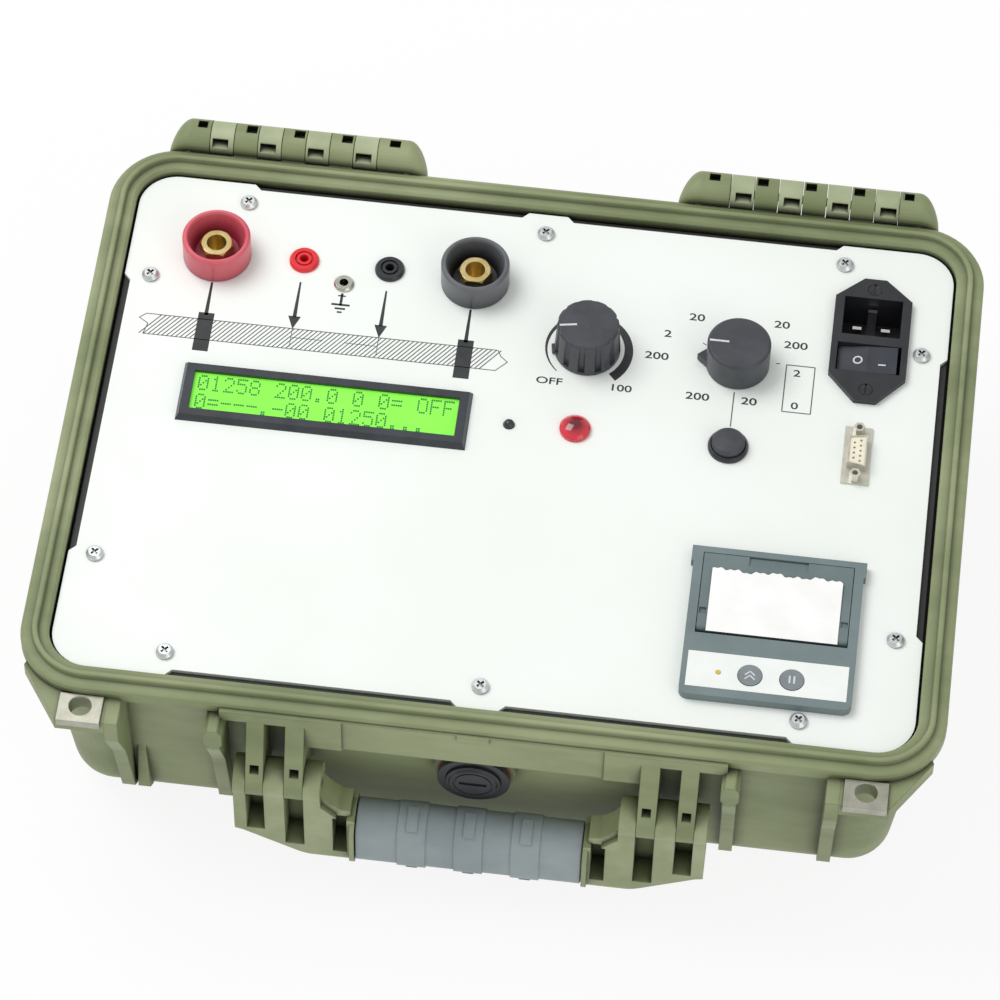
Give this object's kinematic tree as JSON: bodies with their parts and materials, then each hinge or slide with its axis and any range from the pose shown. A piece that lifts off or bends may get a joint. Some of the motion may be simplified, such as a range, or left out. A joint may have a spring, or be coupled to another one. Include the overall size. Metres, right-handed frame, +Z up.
{
  "type": "micro ohmmeter",
  "caption": "Portable four-wire resistance meter: sloped-wall carrying case base holding a panel with high-current terminals, display, knobs, printer and swing handle.",
  "frame": {"origin": "centre of the footprint, on the plane of the feet", "axes": "+X to the right of the panel, +Y to the back where the lid hinges are, +Z up out of the front panel; the handle is on the -Y side"},
  "size_m": [0.404, 0.33, 0.1345],
  "materials": {
    "case_plastic": "fine moulded grain",
    "handle_plastic": "fine moulded grain",
    "grip_plastic": "satin soft-touch",
    "steel_pin": "plain drawn steel",
    "plate_steel": "pressed sheet steel",
    "valve_plastic": "matt moulded",
    "seal_rubber": "soft red rubber",
    "frame_black": "matt black",
    "panel_white": "satin, pale green-white, with printed marks",
    "screw_zinc": "bright zinc",
    "terminal_red": "semi-gloss",
    "terminal_black": "semi-gloss",
    "brass": "turned",
    "nut_steel": "plain",
    "bezel_black": "satin",
    "display_green": "backlit, with dot characters",
    "board_green": "solder resist",
    "led_clear": "smoked clear",
    "lamp_red": "translucent",
    "knob_black": "satin",
    "shaft_steel": "turned",
    "control_brown": "phenolic",
    "inlet_black": "satin",
    "pin_nickel": "nickel plate",
    "shell_tin": "tin plate",
    "insert_cream": "moulded",
    "printer_grey": "satin slate grey",
    "paper_white": "thermal paper",
    "mech_dark": "matt",
    "key_plate_white": "printed film",
    "key_grey": "satin",
    "led_yellow": "clear",
    "winding_tape": "varnished tape",
    "sink_aluminium": "extruded",
    "module_grey": "moulded",
    "copper": "copper bar"
  },
  "bodies": {
    "case": {"case_base": "case_plastic", "hinge_pins": "steel_pin", "padlock_blocks": "case_plastic", "padlock_plates": "plate_steel", "handle_pins": "steel_pin", "purge_valve_body": "valve_plastic", "purge_valve_cap": "valve_plastic", "purge_valve_seal": "seal_rubber", "panel_frame": "frame_black", "front_panel": "panel_white", "panel_screws": "screw_zinc", "red_terminal_cup": "terminal_red", "black_terminal_cup": "terminal_black", "red_contact": "brass", "black_contact": "brass", "terminal_nuts": "nut_steel", "red_sense_socket": "terminal_red", "black_sense_socket": "terminal_black", "earth_socket": "brass", "socket_nuts": "nut_steel", "lcd_bezel": "bezel_black", "lcd_window": "display_green", "lcd_module": "board_green", "status_led": "led_clear", "lamp_lens": "lamp_red", "lamp_body": "bezel_black", "current_control": "control_brown", "range_switch": "control_brown", "start_switch": "bezel_black", "inlet_housing": "inlet_black", "inlet_pins": "pin_nickel", "inlet_screws": "screw_zinc", "serial_shell": "shell_tin", "serial_insert": "insert_cream", "serial_jackscrews": "shell_tin", "printer_bezel": "printer_grey", "printer_mechanism": "mech_dark", "printer_key_plate": "key_plate_white", "printer_led": "led_yellow", "transformer_winding": "winding_tape", "transformer_clamp": "nut_steel", "heat_sink": "sink_aluminium", "rectifier_module": "module_grey", "current_busbars": "copper", "main_board": "board_green"},
    "lid_left": {"lid_knuckles_left": "case_plastic"},
    "lid_right": {"lid_knuckles_right": "case_plastic"},
    "handle": {"handle_frame": "handle_plastic", "handle_grip": "grip_plastic"},
    "current_dial": {"current_knob": "knob_black", "current_shaft": "shaft_steel"},
    "range_dial": {"range_knob": "knob_black", "range_shaft": "shaft_steel"},
    "start_plunger": {"start_button": "knob_black"},
    "rocker": {"power_rocker": "inlet_black"},
    "paper_door": {"printer_door": "printer_grey", "paper_strip": "paper_white"},
    "feed_key": {"feed_button": "key_grey"},
    "pause_key": {"pause_button": "key_grey"},
    "paper_spool": {"paper_roll": "paper_white"}
  },
  "joints": [
    {"name": "handle_swing", "type": "hinge", "parent": "case", "child": "handle", "pos_m": [0, -0.1535, 0.071], "axis": [-1, 0, 0], "range_deg": [0, 100]},
    {"name": "lid_right_turn", "type": "hinge", "parent": "case", "child": "lid_right", "pos_m": [0.121, 0.1565, 0.118], "axis": [1, 0, 0], "range_deg": [0, 180]},
    {"name": "lid_left_turn", "type": "hinge", "parent": "case", "child": "lid_left", "pos_m": [-0.121, 0.1565, 0.118], "axis": [1, 0, 0], "range_deg": [0, 180]},
    {"name": "current_turn", "type": "hinge", "parent": "case", "child": "current_dial", "pos_m": [0.026, 0.0614, 0.115], "axis": [0, 0, 1], "range_deg": [-236, 43]},
    {"name": "range_turn", "type": "hinge", "parent": "case", "child": "range_dial", "pos_m": [0.0943, 0.062, 0.115], "axis": [0, 0, 1], "range_deg": [-180, 0]},
    {"name": "start_push", "type": "slide", "parent": "case", "child": "start_plunger", "axis": [0, 0, 1], "range_m": [-0.003, 0], "stiffness_N_per_m": 300},
    {"name": "rocker_tilt", "type": "hinge", "parent": "case", "child": "rocker", "pos_m": [0.1528, 0.0707, 0.112], "axis": [0, 1, 0], "range_deg": [0, 14]},
    {"name": "door_lift", "type": "hinge", "parent": "case", "child": "paper_door", "pos_m": [0.1226, -0.0818, 0.1171], "axis": [1, 0, 0], "range_deg": [0, 85]},
    {"name": "feed_push", "type": "slide", "parent": "case", "child": "feed_key", "axis": [0, 0, 1], "range_m": [-0.0006, 0], "stiffness_N_per_m": 500},
    {"name": "pause_push", "type": "slide", "parent": "case", "child": "pause_key", "axis": [0, 0, 1], "range_m": [-0.0006, 0], "stiffness_N_per_m": 500},
    {"name": "roll_spin", "type": "hinge", "parent": "case", "child": "paper_spool", "pos_m": [0.1226, -0.0652, 0.092], "axis": [1, 0, 0], "continuous": true}
  ],
  "couplings": [
    {"joint": "lid_left_turn", "follows": "lid_right_turn", "ratio": 1}
  ]
}
